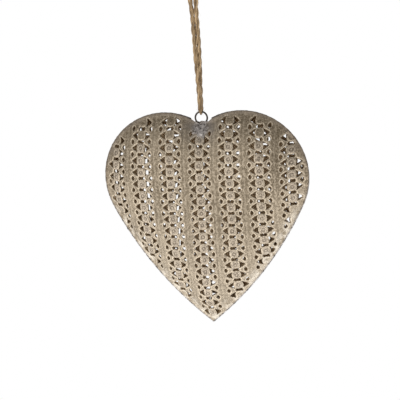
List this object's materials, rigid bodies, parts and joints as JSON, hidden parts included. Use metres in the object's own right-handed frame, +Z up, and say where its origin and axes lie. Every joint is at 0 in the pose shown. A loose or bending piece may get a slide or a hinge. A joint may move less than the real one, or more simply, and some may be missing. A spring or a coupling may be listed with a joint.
{
  "type": "hanging heart ornament",
  "caption": "Puffed heart ornament of domed, pierced tin sheet, soldered at the rim, with a wire eye in its cleft and a doubled jute twine loop to hang it by.",
  "frame": {"origin": "where a nail or hook carries the twine loop, just below its knot", "axes": "+X to the right as the front is seen, +Y to the back, +Z up"},
  "size_m": [0.12, 0.0248, 0.2227],
  "materials": {
    "antique_tin": "antiqued, brown patina in the pierced pattern",
    "solder": "dull grey",
    "iron_wire": "dark, oiled",
    "jute": "twisted bast fibre, hairy"
  },
  "bodies": {
    "hanging_loop": {"twine_loop": "jute", "twine_knot": "jute"},
    "twisting_pair": {"twine_pair": "jute"},
    "heart": {"front_shell": "antique_tin", "back_shell": "antique_tin", "seam_bead_left": "solder", "seam_bead_right": "solder", "cleft_solder": "solder", "hanging_eye": "iron_wire"}
  },
  "joints": [
    {"name": "twine_twist", "type": "hinge", "parent": "hanging_loop", "child": "twisting_pair", "pos_m": [0, 0, -0.033], "axis": [0, 0, 1], "range_deg": [-180, 180]},
    {"name": "heart_swing", "type": "hinge", "parent": "twisting_pair", "child": "heart", "pos_m": [0, 0, -0.08345], "axis": [0, 1, 0], "range_deg": [-60, 60]}
  ]
}
